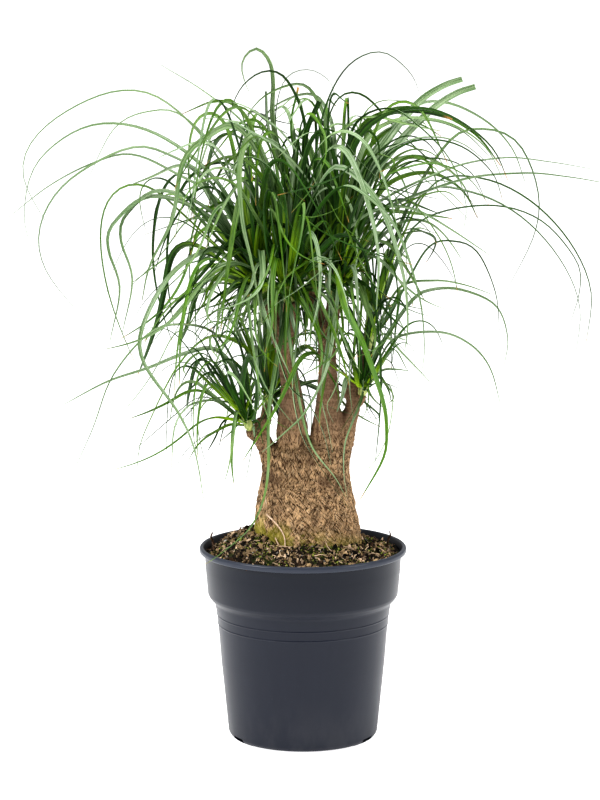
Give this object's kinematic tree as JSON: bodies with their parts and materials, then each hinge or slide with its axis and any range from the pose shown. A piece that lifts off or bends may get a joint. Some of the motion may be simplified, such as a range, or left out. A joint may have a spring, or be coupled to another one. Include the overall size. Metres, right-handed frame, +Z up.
{
  "type": "potted ponytail palm",
  "caption": "Potted ponytail palm: a swollen woody foot that forks into stems, each ending in a rosette of long arching ribbon leaves, in a round tapered nursery pot filled with soil.",
  "frame": {"origin": "centre of the pot's underside, on the surface that it stands on", "axes": "+Z up along the pot's axis, +X to the right of the side that shows both stubs and the widest leaves, +Y to the back"},
  "size_m": [0.6943, 0.5104, 0.7949],
  "materials": {
    "pot_plastic": "satin dark slate grey moulded polypropylene",
    "soil": "crumbly moist peat with bark fibre and moss",
    "bark": "dry tan bark, fissured on the foot and smoother on the stems",
    "leaf": "leathery glaucous green leaf, satin"
  },
  "bodies": {
    "root": {"nursery_pot": "pot_plastic", "potting_soil": "soil", "trunk": "bark", "rosette_low_left": "leaf", "rosette_left_back": "leaf", "rosette_upper_left": "leaf", "rosette_centre": "leaf", "rosette_upper_right": "leaf", "rosette_low_right": "leaf", "rosette_right_back": "leaf", "rosette_back": "leaf"}
  },
  "joints": []
}
